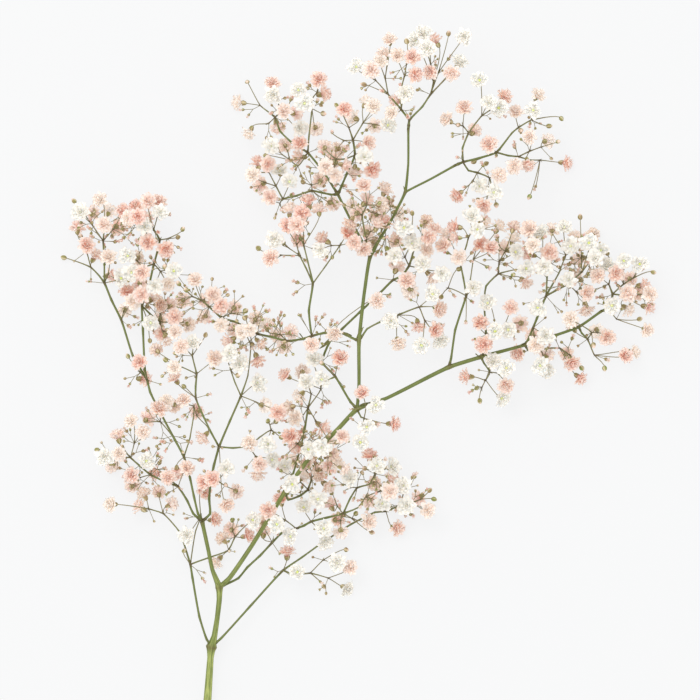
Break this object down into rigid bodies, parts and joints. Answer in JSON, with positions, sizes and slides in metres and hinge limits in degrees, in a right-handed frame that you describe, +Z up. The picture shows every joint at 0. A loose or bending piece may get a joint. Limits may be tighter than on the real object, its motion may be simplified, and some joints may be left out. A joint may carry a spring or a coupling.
{
  "type": "gypsophila stem",
  "caption": "Cut stem of double gypsophila with a forked olive stem, fine twigs, pink and white blooms and buds, lying on a surface.",
  "frame": {"origin": "on the table, under the weight of the stem, at the flat underside of the low centre bloom", "axes": "+Z up from the table, +Y along the stem from the cut end to the crown, +X to the right seen from above"},
  "size_m": [0.2988, 0.419, 0.0861],
  "materials": {
    "olive_stem": "matt, finely ribbed",
    "pink_petal": "matt, thin petal",
    "white_petal": "matt, thin petal",
    "dry_twig": "matt, dry",
    "green_calyx": "satin"
  },
  "bodies": {
    "root": {"main_stem": "olive_stem", "low_left_spray": "pink_petal", "left_spray": "pink_petal", "far_left_spray": "pink_petal", "left_inner_spray": "pink_petal", "centre_spray": "pink_petal", "thicket_spray": "pink_petal", "upper_thicket_spray": "pink_petal", "low_mid_spray": "pink_petal", "low_right_spray": "pink_petal", "near_spray": "pink_petal", "middle_spray": "pink_petal", "north_west_spray": "pink_petal", "east_inner_spray": "pink_petal", "over_tangle_spray": "pink_petal", "under_tangle_spray": "pink_petal", "west_spray": "pink_petal", "west_side_spray": "pink_petal", "north_spray": "pink_petal", "crown_spray": "pink_petal", "east_spray": "pink_petal", "east_upper_spray": "pink_petal", "east_low_spray": "pink_petal", "east_mid_spray": "pink_petal", "south_east_spray": "pink_petal", "low_east_spray": "pink_petal", "south_tip_spray": "pink_petal", "east_tip_spray": "pink_petal"}
  },
  "joints": []
}
